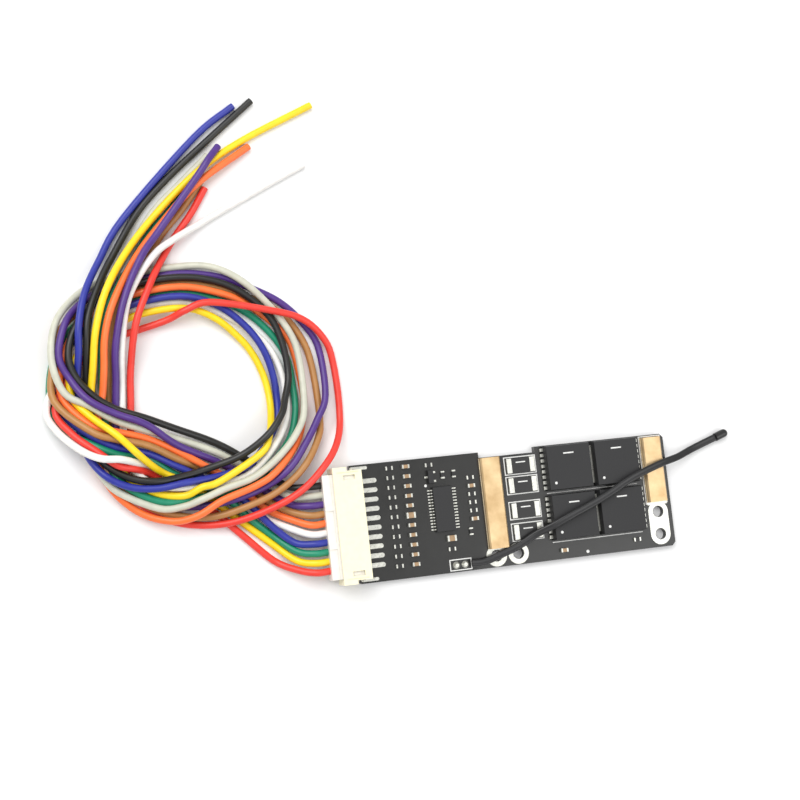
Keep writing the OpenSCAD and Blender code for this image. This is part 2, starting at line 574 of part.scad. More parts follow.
module plug_housing() {
    color([0.94, 0.93, 0.9]) on_board() difference() {
        union() {
            translate([plug_rear_x, mid_y - plug_w / 2, entry_z - plug_h / 2])
                cube([plug_l, plug_w, plug_h]);
            // Keys that run in the header's floor slots.
            for (side = [-1, 1])
                translate([mouth_x - 0.6, mid_y + side * (plug_w / 2 - 3) - key_w / 2,
                           entry_z - plug_h / 2 - key_h])
                    cube([3.2, key_w, key_h + eps]);
        }
        // One blind cavity for each terminal.
        for (y = way_y)
            translate([plug_rear_x + plug_rear_wall, y - cavity / 2, entry_z - cavity / 2])
                cube([plug_l, cavity, cavity]);
        // Shallow grip recesses in the roof, with a rib left standing between them.
        for (side = [-1, 0, 1])
            translate([plug_rear_x - 1, mid_y + side * rib_y - (rib_y - rib_w) / 2,
                       entry_z + plug_h / 2 - grip_depth])
                cube([1 + plug_proud - grip_wall, rib_y - rib_w, 1]);
    }
}

module crimp_terminals() {
    shell = 0.2;
    play = 0.05;
    out = cavity - 2 * play;
    color([0.85, 0.82, 0.7]) on_board() for (y = way_y)
        translate([plug_rear_x + plug_rear_wall, y, entry_z - play]) difference() {
            translate([0, -out / 2, -out / 2]) cube([crimp_l, out, out]);
            translate([crimp_floor, -out / 2 + shell, -out / 2 + shell])
                cube([crimp_l, out - 2 * shell, out - 2 * shell]);
        }
}

// ---------------------------------------------------------------- power transistors

module fet_body(i) {
    p = fet_places[i];
    color([0.07, 0.07, 0.08]) on_board() translate([p.x, p.y, pcb_t])
        moulded_body(fet_l, fet_w, fet_h, fet_parting_h, fet_draft);
}

// Source leads on one side and the drain tab on the other.
module fet_frame(i) {
    p = fet_places[i];
    color([0.75, 0.75, 0.72]) on_board() translate([p.x, p.y, pcb_t]) rotate(p.z) {
        for (k = [0 : fet_leads - 1])
            translate([-fet_l / 2 - fet_lead_l,
                       (k - (fet_leads - 1) / 2) * fet_lead_pitch - fet_lead_w / 2, 0])
                cube([fet_lead_l, fet_lead_w, fet_metal_t]);
        translate([fet_l / 2, -fet_tab_w / 2, 0]) cube([fet_tab_l, fet_tab_w, fet_metal_t]);
    }
}

// ---------------------------------------------------------------- shunts

module shunt_body(i) {
    color([0.08, 0.08, 0.08]) on_board()
        translate([shunt_x, shunt_y[i], pcb_t + shunt_h / 2])
            cube([shunt_l - 2 * shunt_end, shunt_w - 0.1, shunt_h - 0.1], center = true);
}

module shunt_terminals() {
    color([0.8, 0.78, 0.6]) on_board() for (y = shunt_y) for (side = [-1, 1])
        translate([shunt_x + side * (shunt_l - shunt_end) / 2, y, pcb_t + shunt_h / 2])
            cube([shunt_end, shunt_w, shunt_h], center = true);
}

// ---------------------------------------------------------------- control chip and small transistor

module chip_body() {
    color([0.08, 0.08, 0.09]) on_board() translate([chip_x, chip_y, pcb_t + chip_standoff])
        moulded_body(chip_w, chip_l, chip_h - chip_standoff, (chip_h - chip_standoff) / 2, chip_draft);
}

module chip_legs() {
    color([0.8, 0.8, 0.78]) on_board() translate([chip_x, chip_y, pcb_t])
        for (side = [0, 180]) rotate(side) for (k = [0 : chip_leads - 1])
            translate([chip_w / 2, (k - (chip_leads - 1) / 2) * chip_lead_pitch, 0])
                along_y(chip_leg_w) gull_profile(gull_reach, gull_t, chip_h / 2);
}

module sot_body() {
    color([0.08, 0.08, 0.08]) on_board() translate([sot_x, sot_y, pcb_t + sot_standoff])
        moulded_body(sot_w, sot_l, sot_h - sot_standoff, sot_h / 2, chip_draft);
}

module sot_legs() {
    color([0.8, 0.8, 0.78]) on_board() translate([sot_x, sot_y, pcb_t]) {
        for (k = [-1, 1]) translate([sot_w / 2, k * sot_pitch / 2, 0])
            along_y(sot_leg_w) gull_profile(sot_reach, sot_leg_t, sot_h / 2);
        rotate(180) translate([sot_w / 2, 0, 0])
            along_y(sot_leg_w) gull_profile(sot_reach, sot_leg_t, sot_h / 2);
    }
}

// ---------------------------------------------------------------- chip parts

// Bodies between the end caps, or the caps themselves, of every part in a list.
module chip_middles(places, l, w, h) {
    cap = l * cap_share;
    for (p = places) translate([p.x, p.y, pcb_t + h / 2]) rotate(p.z)
        cube([l - 2 * cap, w - 0.04, h - 0.04], center = true);
}

module chip_ends(places, l, w, h) {
    cap = l * cap_share;
    for (p = places) translate([p.x, p.y, pcb_t + h / 2]) rotate(p.z) for (side = [-1, 1])
        translate([side * (l - cap) / 2, 0, 0]) cube([cap, w, h], center = true);
}

module resistors() {
    color([0.12, 0.12, 0.12]) on_board()
        chip_middles(resistor_places, chip_part_l, chip_part_w, resistor_h);
}

module resistor_ends() {
    color([0.85, 0.85, 0.83]) on_board()
        chip_ends(resistor_places, chip_part_l, chip_part_w, resistor_h);
}

module capacitors() {
    color([0.72, 0.6, 0.42]) on_board()
        chip_middles(capacitor_places, chip_part_l, chip_part_w, capacitor_h);
}

module capacitor_ends() {
    color([0.85, 0.85, 0.83]) on_board()
        chip_ends(capacitor_places, chip_part_l, chip_part_w, capacitor_h);
}

module big_capacitors() {
    color([0.62, 0.45, 0.3]) on_board()
        chip_middles(big_capacitor_places, big_part_l, big_part_w, big_part_h);
}

module big_capacitor_ends() {
    color([0.85, 0.85, 0.83]) on_board()
        chip_ends(big_capacitor_places, big_part_l, big_part_w, big_part_h);
}

// ---------------------------------------------------------------- leads

// A smooth curve through the points, with the given number of steps between two of them.
function curve(pts, steps) =
    let (n = len(pts),
         q = concat([2 * pts[0] - pts[1]], pts, [2 * pts[n - 1] - pts[n - 2]]))
    concat([for (i = [0 : n - 2]) for (s = [0 : steps - 1])
        let (t = s / steps, a = q[i], b = q[i + 1], c = q[i + 2], d = q[i + 3])
        0.5 * (2 * b + (c - a) * t + (2 * a - 5 * b + 4 * c - d) * t * t
               + (3 * b - 3 * c + d - a) * t * t * t)], [pts[n - 1]]);

function unit(v) = v / norm(v);

// Direction of travel at each point; the first ring stands square on to where the lead starts.
function headings(p) = [for (i = [0 : len(p) - 1])
    i == 0 ? unit(p[1] - p[0]) : unit(p[min(i + 1, len(p) - 1)] - p[i - 1])];

// An oval tube along a path, w wide level with the table and t thick, with flat ends.
module tube(p, w, t, sides = 8) {
    h = headings(p);
    n = len(p);
    rings = [for (i = [0 : n - 1])
        let (across = unit(cross([0, 0, 1], h[i])), up = cross(h[i], across))
        for (k = [0 : sides - 1])
            let (a = (k + 0.5) * 360 / sides, grow = 1 / cos(180 / sides))
            p[i] + across * cos(a) * w / 2 * grow + up * sin(a) * t / 2 * grow];
    sides_faces = [for (i = [0 : n - 2]) for (k = [0 : sides - 1])
        let (a = i * sides + k, b = i * sides + (k + 1) % sides)
        [a, a + sides, b + sides, b]];
    polyhedron(
        points = rings,
        faces = concat(
            sides_faces,
            [[for (k = [0 : sides - 1]) k]],
            [[for (k = [0 : sides - 1]) n * sides - 1 - k]]));
}

// The lead in way i: straight out of the plug, then along its route, whose points are [x, y, lift].
// A lift of 0 is a lead that lies on the table, and none goes lower.
module lead(i, tint) {
    rear = [plug_rear_x - mid_x, way_y[i] - mid_y, entry_z];
    out = rear - [lead_straight, 0, 0];
    laid = [for (p = routes[i]) [p.x, p.y, p.z + lead_d / 2]];
    path = [for (p = curve(concat([rear, out], laid), 2)) [p.x, p.y, max(p.z, lead_d / 2)]];
    color(tint) tube(path, lead_d, lead_d);
}

// The flat twin lead of the probe.
module probe_lead() {
    color([0.12, 0.12, 0.13]) tube(curve(twin_route, 3), twin_w, twin_t);
}

// The thermistor's bead: a round nose on a short cone, lying on the table along its lead.
module probe_bead() {
    tip = twin_route[len(twin_route) - 1];
    along = unit(tip - twin_route[len(twin_route) - 2]);
    neck_l = bead_l - bead_d / 2;
    color([0.1, 0.1, 0.1]) translate(tip) rotate([0, 90, atan2(along.y, along.x)]) {
        cylinder(h = neck_l, d = bead_d);
        translate([0, 0, neck_l]) sphere(d = bead_d);
    }
}

// Solder on the probe's two holes: a plug in the hole and a low cone on the board.
module probe_joints() {
    color([0.8, 0.8, 0.78]) on_board() for (p = probe_holes) translate([p.x, p.y, 0]) {
        cylinder(h = pcb_t, d = probe_hole_d);
        translate([0, 0, pcb_t]) cylinder(h = joint_h, d1 = joint_d, d2 = joint_top_d);
    }
}

pcb();
terminal_lands();
header_lands();
bus_bar_battery();
bus_bar_pack();
header_housing();
header_contacts();
header_tabs();
plug_housing();
crimp_terminals();
fet_body(0);  // fet_body_1
fet_body(1);  // fet_body_2
fet_body(2);  // fet_body_3
fet_body(3);  // fet_body_4
fet_frame(0);  // fet_frame_1
fet_frame(1);  // fet_frame_2
fet_frame(2);  // fet_frame_3
fet_frame(3);  // fet_frame_4
shunt_body(0);  // shunt_body_1
shunt_body(1);  // shunt_body_2
shunt_body(2);  // shunt_body_3
shunt_body(3);  // shunt_body_4
shunt_terminals();
chip_body();
chip_legs();
sot_body();
sot_legs();
resistors();
resistor_ends();
capacitors();
capacitor_ends();
big_capacitors();
big_capacitor_ends();
probe_joints();
probe_lead();
probe_bead();
lead(0, [0.12, 0.12, 0.11]);  // lead_black
lead(1, [0.78, 0.78, 0.72]);  // lead_grey
lead(2, [0.3, 0.18, 0.5]);  // lead_purple
lead(3, [0.68, 0.48, 0.26]);  // lead_brown
lead(4, [0.98, 0.45, 0.2]);  // lead_orange
lead(5, [0.97, 0.96, 0.94]);  // lead_white
lead(6, [0.16, 0.2, 0.6]);  // lead_blue
lead(7, [0.08, 0.53, 0.4]);  // lead_green
lead(8, [0.98, 0.86, 0.1]);  // lead_yellow
lead(9, [0.92, 0.24, 0.2]);  // lead_red
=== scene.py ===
"""Finishes, leads, silkscreen, stage and camera for a battery management board."""
import json
import math

import bpy
from mathutils import Euler, Matrix, Vector


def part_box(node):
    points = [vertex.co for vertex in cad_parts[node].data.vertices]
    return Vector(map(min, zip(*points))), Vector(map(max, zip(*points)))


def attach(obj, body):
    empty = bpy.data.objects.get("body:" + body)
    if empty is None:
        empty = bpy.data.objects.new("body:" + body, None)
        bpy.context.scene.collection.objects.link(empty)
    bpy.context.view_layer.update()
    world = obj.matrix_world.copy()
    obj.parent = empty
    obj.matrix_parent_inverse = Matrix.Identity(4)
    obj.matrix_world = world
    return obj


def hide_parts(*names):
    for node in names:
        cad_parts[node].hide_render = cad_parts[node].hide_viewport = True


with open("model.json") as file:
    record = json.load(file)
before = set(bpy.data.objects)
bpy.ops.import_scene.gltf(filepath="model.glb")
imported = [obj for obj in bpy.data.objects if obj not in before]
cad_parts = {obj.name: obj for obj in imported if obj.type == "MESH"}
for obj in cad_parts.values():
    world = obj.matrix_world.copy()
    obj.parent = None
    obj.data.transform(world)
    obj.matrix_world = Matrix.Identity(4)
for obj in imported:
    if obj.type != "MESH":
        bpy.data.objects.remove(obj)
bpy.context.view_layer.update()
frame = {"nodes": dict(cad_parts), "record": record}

bl_info = {
    "name": "Battery management board",
    "version": (1, 0, 0),
    "blender": (4, 5, 0),
    "location": "View3D > Sidebar > Board",
    "description": "Dresses the packed board with its finishes, leads and silkscreen",
    "category": "Object",
}

MM = 0.001
BOARD_LOW, BOARD_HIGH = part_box("pcb")
PLUG_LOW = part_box("plug_housing")[0]
LEAD_STRAIGHT = 3 * MM
LEAD_EXIT_Z = 4.3 * MM
WAY_PITCH = 2 * MM
FIRST_WAY_Y = 9 * MM

# Fineness of swept and round shapes, and the angle past which an edge stays sharp.
CURVE_STEPS = 5
LEAD_SIDES = 16
DISC_SIDES = 20
SMOOTH_ANGLE = math.radians(50)

# Each half of the twin lead's section: its side, and the degrees at which its arc starts.
TWIN_ARCS = ((1, -120), (-1, 60))
TWIN_ARC_POINTS = 9
TWIN_ARC_TURN = 30

# Grain that every finish has in its colour, its gloss and its surface.
GRAIN_DETAIL = 4.0
GRAIN_DARK_AT = 0.3
GRAIN_LIGHT_AT = 0.7
GLOSS_SPREAD = 0.08
GLOSS_LEAST = 0.02
RELIEF_DEPTH = 0.05 * MM

# Stage, in metres and watts. A lamp has its place and its power, and looks at the origin.
FLOOR_SIZE = 4
FLOOR_DROP = 0.02 * MM
FLOOR_ROUGHNESS = 0.8
WORLD_STRENGTH = 0.62
LAMP_SIZE = 0.5
LAMPS = (((-0.25, 0.3, 0.5), 3.2), ((0.35, -0.2, 0.55), 1.6))

# Camera: its place in millimetres, its turn in degrees about X, Y and Z, and its lens.
CAMERA_PLACE = (-104.5, 1.9, 313.6)
CAMERA_TURN = (5.88, -14.4, -6.63)
CAMERA_LENS = 67.5
CAMERA_SENSOR = 36
CAMERA_NEAR = 0.01

# White ink on the board, in millimetres: the clear space in the box round a part.
SHUNT_CLEAR_X = 1.6
SHUNT_CLEAR_Y = 0.45
PROBE_CLEAR_X = 0.7
PROBE_CLEAR_Y = 0.5
BAR_CLEAR = 0.4

# Lower side of the probe's box, from the board's lower edge.
PROBE_BOX_Y = 0.3

# Line below each row of transistors: its gap, its width, and how far it runs on past the first one.
FET_LINE_GAP = 0.35
FET_LINE_W = 0.2
FET_LINE_PAST = 11

# Dots: one off the chip's corner, one back from the pack bar's far side, and their radii.
CHIP_DOT_X = 1.2
CHIP_DOT_Y = 0.5
DOT_R = 0.3
EDGE_DOT_X = 20
EDGE_DOT_Y = 1
EDGE_DOT_R = 0.35

# Marks on the packages, in millimetres: half the length, width and inset of a dash, inset of a dot.
FET_DASH = (1.2, 0.3, 1.8)
SHUNT_DASH = (1.1, 0.25, 0.75)
FET_DOT_INSET = 1.6

# Colour of each lead, in the order of the header's ways.
LEADS = {
    "black": (0.012, 0.012, 0.011),
    "grey": (0.56, 0.56, 0.46),
    "purple": (0.075, 0.028, 0.21),
    "brown": (0.42, 0.2, 0.062),
    "orange": (0.95, 0.17, 0.035),
    "white": (0.84, 0.82, 0.78),
    "blue": (0.022, 0.032, 0.3),
    "green": (0.008, 0.24, 0.13),
    "yellow": (0.92, 0.65, 0.008),
    "red": (0.8, 0.045, 0.03),
}

# Points of each lead in millimetres, [x, y, lift off the table], after its straight start.
ROUTES = {
    "black": [
        (-47.5, 9.5, 2), (-52, 13, 0), (-56, 16.5, 0), (-62, 20.5, 0), (-70, 24, 2), (-76, 26.5, 4.5),
        (-82, 29, 4.5), (-86.5, 32.5, 4.5), (-89.5, 37, 4.5), (-90, 41.5, 4.5), (-88, 46.5, 4),
        (-84, 51, 2), (-76, 54.5, 1.5), (-66, 55.5, 1.5), (-58, 54, 1.5), (-52, 50.5, 1.5),
        (-47.5, 45.5, 1.5), (-45.5, 39.5, 1.5), (-45, 33, 1.5), (-46.5, 28, 3), (-48, 24.5, 4.8),
        (-51.5, 20.5, 5.6), (-57, 17, 4), (-64, 15, 3), (-70, 13.8, 3.5), (-75, 13.4, 4.5),
        (-80, 14.5, 4.5), (-84.5, 17.5, 4.3), (-87, 21.5, 2.8), (-87.8, 26, 1.5), (-87.3, 31, 1.3),
        (-86.8, 36.5, 2.6), (-86.3, 42, 4.8), (-85.5, 48, 5.3), (-82.5, 55, 3.5), (-79, 61, 1.5),
        (-73, 70, 0), (-66, 77, 0), (-57, 84.5, 0), (-46.5, 93, 0),
    ],
    "grey": [
        (-47.5, 7.5, 2), (-52, 11, 0), (-56, 14.5, 0), (-62, 18.5, 0), (-70, 22, 1), (-76, 24, 4.5),
        (-82, 26.5, 4.5), (-87, 30, 4.8), (-91.6, 33, 4.6), (-93.5, 40, 4.5), (-92, 47.5, 3),
        (-88, 52.5, 1), (-83, 55.5, 0), (-75, 57.3, 0), (-66, 58, 0), (-61, 57.8, 0.8),
        (-57, 56.5, 1.5), (-53, 54, 1.5), (-49, 50, 1.5), (-45, 44.5, 1.5), (-42.5, 38, 1.5),
        (-42.5, 26, 2.5), (-45, 20.5, 4), (-49.5, 15.8, 4.5), (-55, 12.2, 4.5), (-61, 10.5, 4.5),
        (-66, 8.8, 4.5), (-70, 7.7, 3.2), (-75, 7.9, 3), (-82.7, 12, 3), (-86, 16.3, 2.8),
        (-87.3, 20.5, 1.2), (-87, 25.5, 0), (-85.5, 36, 1.5), (-85, 41, 4), (-84, 47, 4.3),
        (-81.4, 53, 3.8), (-75.5, 62, 1), (-69.7, 70, 0), (-63.7, 75.5, 0), (-57, 81.5, 0),
    ],
    "purple": [
        (-47.5, 5.8, 2), (-52, 9, 0), (-56, 12.5, 0), (-62, 16.5, 0), (-70, 20.5, 3), (-76, 25, 6),
        (-82, 27.8, 6), (-87, 31, 6), (-90, 35.3, 4.6), (-92, 40.5, 4.5), (-90.2, 47, 4),
        (-87, 51, 1.5), (-82.5, 53.7, 0), (-76, 55.5, 0), (-66, 56.5, 0), (-58, 55.5, 0), (-52, 53, 0),
        (-45, 49, 0), (-40, 43.5, 0), (-37.5, 38, 0), (-37.5, 28, 1.6), (-40, 23, 2.5),
        (-43, 18.5, 3.5), (-47, 13.5, 4), (-52, 10.3, 3), (-59, 8.1, 3.1), (-66, 7.4, 1.8),
        (-72, 8.3, 1.5), (-77.5, 11, 1.5), (-81.5, 16, 1.5), (-82, 22, 1.2), (-81.6, 28, 1.5),
        (-81, 35, 3), (-80.5, 42, 5.3), (-78, 51, 6), (-73.7, 59.5, 4.8), (-69, 65.5, 3.3),
        (-60, 76.5, 3), (-57.3, 80, 2.8), (-54.8, 83, 1.2),
    ],
    "brown": [
        (-47.5, 4.2, 2), (-52, 7, 0), (-56, 10.5, 0), (-62, 14, 0), (-66, 15.7, 0), (-70, 17.6, 2),
        (-76, 20.8, 4.8), (-82, 22.5, 6), (-87, 24.6, 6), (-93.7, 31.5, 3.6), (-93.3, 39, 3),
        (-91.5, 45.5, 2.2), (-88, 49.2, 0.8), (-84, 50.8, 0), (-76, 53.5, 0), (-66, 54.5, 0),
        (-58, 53, 0), (-52, 50.7, 0), (-45.5, 47, 0), (-41.3, 41.3, 0), (-39.5, 35, 0),
        (-39, 23.5, 0.5), (-40.5, 18.5, 2.5), (-44.5, 13, 4.3), (-50, 8.8, 3.3), (-57, 6.3, 3),
        (-64, 5, 1.8), (-71, 6, 1.3), (-77, 8.6, 1.5), (-81.8, 12.8, 1.5), (-83.7, 18, 0.5),
        (-83.3, 25, 0), (-82.7, 32, 0.5), (-82.2, 38, 2.5), (-81.7, 43, 3.8), (-79.5, 50, 4),
        (-73.5, 58, 2), (-68.7, 64.7, 0), (-63.8, 70, 0), (-58.8, 76.3, 0),
    ],
    "orange": [
        (-47.5, 2.5, 2), (-52, 5, 0.5), (-56, 8.5, 1.5), (-60, 12.5, 1.5), (-65, 16, 1.5),
        (-70, 19.3, 2), (-76, 22.3, 4), (-82, 24.2, 4.5), (-87, 26, 4.5), (-92, 32, 3), (-91.6, 39, 3),
        (-88.5, 45.2, 2.7), (-84, 49.4, 1.5), (-76, 52.5, 1.5), (-66, 53.5, 1.5), (-58, 51.7, 1.3),
        (-52.5, 49.3, 0.2), (-47, 44.7, 0), (-43.5, 40, 0), (-42, 29.5, 0), (-42.6, 24, 0.5),
        (-45, 18.3, 2.5), (-50.3, 12.8, 4.5), (-55, 10.3, 4.5), (-62, 8.1, 4.5), (-67, 5.6, 4),
        (-72, 4.9, 2.5), (-78, 7, 1.5), (-83, 11.5, 1.5), (-85.6, 16.5, 1.4), (-85.8, 20.5, 1),
        (-85.7, 24, 1.3), (-85.2, 28, 2.9), (-84, 32, 3.1), (-83.3, 37, 4.6), (-82.5, 44, 6),
        (-80, 51, 6), (-74.5, 60, 3.3), (-68, 67.5, 1.5), (-60, 75.2, 1.7), (-48, 83, 0),
    ],
    "white": [
        (-47.5, 0.5, 2), (-52, 3, 0), (-56, 5.5, 0), (-62, 9, 0), (-67, 11, 0), (-71, 13.2, 0),
        (-75, 16.5, 1.2), (-78.5, 17.5, 4.8), (-82, 18.4, 7.6), (-86, 19, 7.5), (-90, 21.5, 5.5),
        (-94, 26, 2.8), (-95.3, 30.5, 1.5), (-91.6, 38, 1.5), (-88, 42.3, 1.3), (-83, 45.8, 0),
        (-76, 49.5, 0), (-66, 50.5, 0), (-59, 48.2, 0), (-53, 44.4, 0), (-48.7, 40, 0),
        (-46.3, 34.5, 0), (-45.8, 29, 0.5), (-46.7, 23.5, 2), (-49.8, 18.3, 3), (-55, 13.3, 3),
        (-62, 11.4, 3), (-69, 11.5, 3), (-75, 12.6, 3), (-78.8, 15.8, 3), (-80.3, 20.5, 2),
        (-80.3, 27, 1.5), (-79.8, 34, 1.5), (-79.3, 41, 3.8), (-77.5, 50, 4.5), (-74.3, 56, 3.9),
        (-70.5, 60.5, 3.4), (-66.5, 63.3, 2.2), (-58, 68, 0), (-44, 75, 0), (-36.5, 78.5, 0),
    ],
    "blue": [
        (-47.5, -2.3, 2.2), (-51.5, 1.3, 1.5), (-55.5, 6, 1.5), (-59, 9.3, 1.5), (-64, 12.5, 1.5),
        (-70, 16, 1.5), (-76, 19.3, 3.3), (-82, 21, 4.5), (-87, 23.8, 4.5), (-91, 27.5, 2),
        (-92.5, 31.5, 0), (-92, 38, 0), (-89.3, 43.5, 0.5), (-84, 47.5, 1.5), (-76, 50.5, 1.5),
        (-66, 51.5, 1.5), (-58.5, 49, 1.5), (-53.3, 44.5, 1.5), (-50, 39.5, 1.5), (-48.2, 34, 0.6),
        (-47.7, 28, 0), (-48.5, 23.5, 1), (-51, 19.5, 2.3), (-55.5, 14.9, 3), (-62, 13.2, 3),
        (-69, 12.5, 4.4), (-75, 11.9, 4.5), (-80.5, 12.8, 4.5), (-85.3, 15.7, 4.8), (-88.3, 20.5, 2.6),
        (-89.3, 26, 1.5), (-89, 31, 1.5), (-88.7, 36, 2.8), (-88, 41, 4.8), (-87.5, 46.5, 5.8),
        (-85.7, 53, 4.3), (-82, 60, 1.5), (-76, 69, 0), (-59.5, 85.5, 0), (-50.5, 92, 0),
    ],
    "green": [
        (-47.5, -4, 2), (-52, 0, 0), (-56, 3.6, 0.7), (-59.5, 7.3, 1.4), (-62.5, 9.8, 1.5),
        (-66, 12, 1), (-71, 14.8, 0.3), (-76, 18.3, 2.3), (-82, 19.5, 4.5), (-87, 22, 4.5),
        (-92.5, 26, 1.6), (-94.4, 30.5, 0), (-93.7, 38, 0), (-90.7, 44.7, 0), (-84.5, 49, 0),
        (-76, 51.5, 0), (-66, 52.5, 0), (-58, 50.3, 0), (-52, 47, 0), (-47.3, 42, 0), (-44.7, 37, 0),
        (-44, 31, 0), (-44.2, 25.5, 1), (-46, 20, 2), (-50, 15.3, 3), (-55, 11.6, 3), (-62, 9.8, 3),
        (-69, 9, 2.5), (-75, 9.4, 3), (-81.6, 13.5, 3), (-84, 18.5, 2.1), (-83.9, 25, 1.3),
        (-83.9, 32, 1.5), (-83.6, 38, 3), (-83, 44, 4.3), (-80.7, 51, 4.3), (-75.3, 59, 2),
        (-71, 65.3, 0), (-66, 70.3, 0), (-61.8, 75.5, 0),
    ],
    "yellow": [
        (-47.5, -6, 2), (-52, -2, 0), (-62, 7, 0.3), (-65, 9.7, 1.5), (-70, 13.2, 1.7), (-73, 14.9, 2),
        (-75.5, 16.6, 4.3), (-78.5, 19.3, 7), (-82.5, 23.6, 7.5), (-86.5, 27.3, 5.2),
        (-89.8, 31.3, 3.2), (-90.4, 35, 3), (-89.4, 39, 2.9), (-86.3, 42.3, 2.6), (-83, 44.6, 1.6),
        (-76, 48, 1.5), (-66, 49, 1.5), (-59.5, 46.5, 1.5), (-54.5, 42, 0.5), (-51.7, 38, 0),
        (-49.9, 33, 0), (-49.3, 28, 0.3), (-49.8, 24, 2), (-50.8, 20.5, 3.9), (-53, 17, 4.6),
        (-62, 12.1, 4.6), (-66, 11.2, 4.6), (-69.5, 9.9, 3.4), (-75, 11, 3), (-80.6, 14.8, 3),
        (-82.7, 19, 3), (-86, 23.5, 3), (-87, 28, 3), (-86.2, 33, 3.1), (-85.4, 38, 4.8),
        (-84.3, 45, 6.2), (-81.5, 53, 6), (-76.5, 61, 3.5), (-69.5, 69, 1.5), (-60, 77.5, 1.5),
        (-50, 84, 0), (-33.5, 91.5, 0),
    ],
    "red": [
        (-47.5, -8, 2), (-52, -5.5, 0), (-58, 0.5, 0), (-63, 5.5, 0), (-68, 9, 0), (-71.5, 11.6, 0),
        (-75.5, 15, 1.2), (-79, 16.3, 4.6), (-82.5, 17.3, 6), (-86.5, 20.6, 5.8), (-91, 24.8, 4.3),
        (-93.6, 30, 1.8), (-89.5, 37.5, 1.5), (-85.7, 41, 0.8), (-82, 43.5, 0), (-70, 46.5, 0.8),
        (-65.5, 48.2, 3), (-60, 49.5, 3.3), (-47.5, 46.8, 3.3), (-41, 44.5, 3), (-36.7, 40.5, 1.5),
        (-34.8, 35.5, 0), (-34.5, 24, 0), (-36.5, 17.5, 3), (-40.5, 12.5, 5), (-46, 8, 5),
        (-53, 5, 3.5), (-61, 3.3, 1.5), (-69, 4, 0), (-75, 6.5, 0), (-79.5, 11, 0), (-80.5, 16.5, 0),
        (-79, 23, 0), (-78.2, 31, 0.5), (-77.7, 37, 1.5), (-76, 46, 4.5), (-72.3, 54, 3.6),
        (-69.7, 58.5, 1.6), (-66, 64, 0), (-61.8, 69.2, 0), (-58.3, 74.5, 0),
    ],
}

# The probe's twin lead in millimetres, from its joints to its bead.
TWIN_ROUTE = [
    (-9.5, -11, 2.6), (-6.5, -11, 2.6), (-3, -10, 2.8), (1.5, -8.5, 3), (5.5, -6.5, 3.4),
    (9.5, -5, 4.4), (13, -3.5, 4.8), (19.5, -1, 4.8), (24, 1, 4.8), (28, 3, 4.8), (32, 4.5, 4.6),
    (37, 6, 4), (41.5, 7, 2.6), (46, 8.5, 1.2), (52, 10.5, 1),
]


class BoardSettings(bpy.types.PropertyGroup):
    """Sizes and colours of the dressed board."""

    lead_d: bpy.props.FloatProperty(
        name="Lead diameter", description="Outside diameter of a lead", default=1.5 * MM, unit="LENGTH")
    twin_w: bpy.props.FloatProperty(
        name="Twin lead width", description="Width of the probe's twin lead", default=1.6 * MM, unit="LENGTH")
    silk_t: bpy.props.FloatProperty(
        name="Ink thickness", description="Thickness of the white ink", default=0.03 * MM, unit="LENGTH")
    silk_line: bpy.props.FloatProperty(
        name="Ink line", description="Width of a white line", default=0.22 * MM, unit="LENGTH")
    mask_colour: bpy.props.FloatVectorProperty(
        name="Solder mask", description="Colour of the board", default=(0.011, 0.011, 0.01),
        subtype="COLOR", size=3)
    floor_colour: bpy.props.FloatVectorProperty(
        name="Floor", description="Colour of the floor", default=(0.86, 0.86, 0.86),
        subtype="COLOR", size=3)


def settings():
    return bpy.context.scene.board_settings


def deselect():
    bpy.ops.object.select_all(action="DESELECT")


def finish_material(name, colour, roughness, metal=0.0, speckle=0.12, scale=900.0, bump=0.05,
                    second=None, coat=0.0):
    """A finish with a fine grain in its colour, its gloss and its surface."""
    mat = bpy.data.materials.new(name)
    mat.use_nodes = True
    nodes, links = mat.node_tree.nodes, mat.node_tree.links
    shader = nodes["Principled BSDF"]
    shader.inputs["Metallic"].default_value = metal
    shader.inputs["Coat Weight"].default_value = coat
    coords = nodes.new("ShaderNodeTexCoord")
    grain = nodes.new("ShaderNodeTexNoise")
    grain.inputs["Scale"].default_value = scale
    grain.inputs["Detail"].default_value = GRAIN_DETAIL
    links.new(coords.outputs["Object"], grain.inputs["Vector"])
    ramp = nodes.new("ShaderNodeValToRGB")
    dark = [c * (1 - speckle) for c in colour]
    light = second or [min(1.0, c * (1 + speckle)) for c in colour]
    ramp.color_ramp.elements[0].position = GRAIN_DARK_AT
    ramp.color_ramp.elements[0].color = (*dark, 1)
    ramp.color_ramp.elements[1].position = GRAIN_LIGHT_AT
    ramp.color_ramp.elements[1].color = (*light, 1)
    links.new(grain.outputs["Fac"], ramp.inputs["Fac"])
    links.new(ramp.outputs["Color"], shader.inputs["Base Color"])
    gloss = nodes.new("ShaderNodeMapRange")
    gloss.inputs["To Min"].default_value = max(GLOSS_LEAST, roughness - GLOSS_SPREAD)
    gloss.inputs["To Max"].default_value = min(1.0, roughness + GLOSS_SPREAD)
    links.new(grain.outputs["Fac"], gloss.inputs["Value"])
    links.new(gloss.outputs["Result"], shader.inputs["Roughness"])
    relief = nodes.new("ShaderNodeBump")
    relief.inputs["Strength"].default_value = bump
    relief.inputs["Distance"].default_value = RELIEF_DEPTH
    links.new(grain.outputs["Fac"], relief.inputs["Height"])
    links.new(relief.outputs["Normal"], shader.inputs["Normal"])
    return mat


def wear(piece, mat):
    piece.data.materials.clear()
    piece.data.materials.append(mat)
    return piece


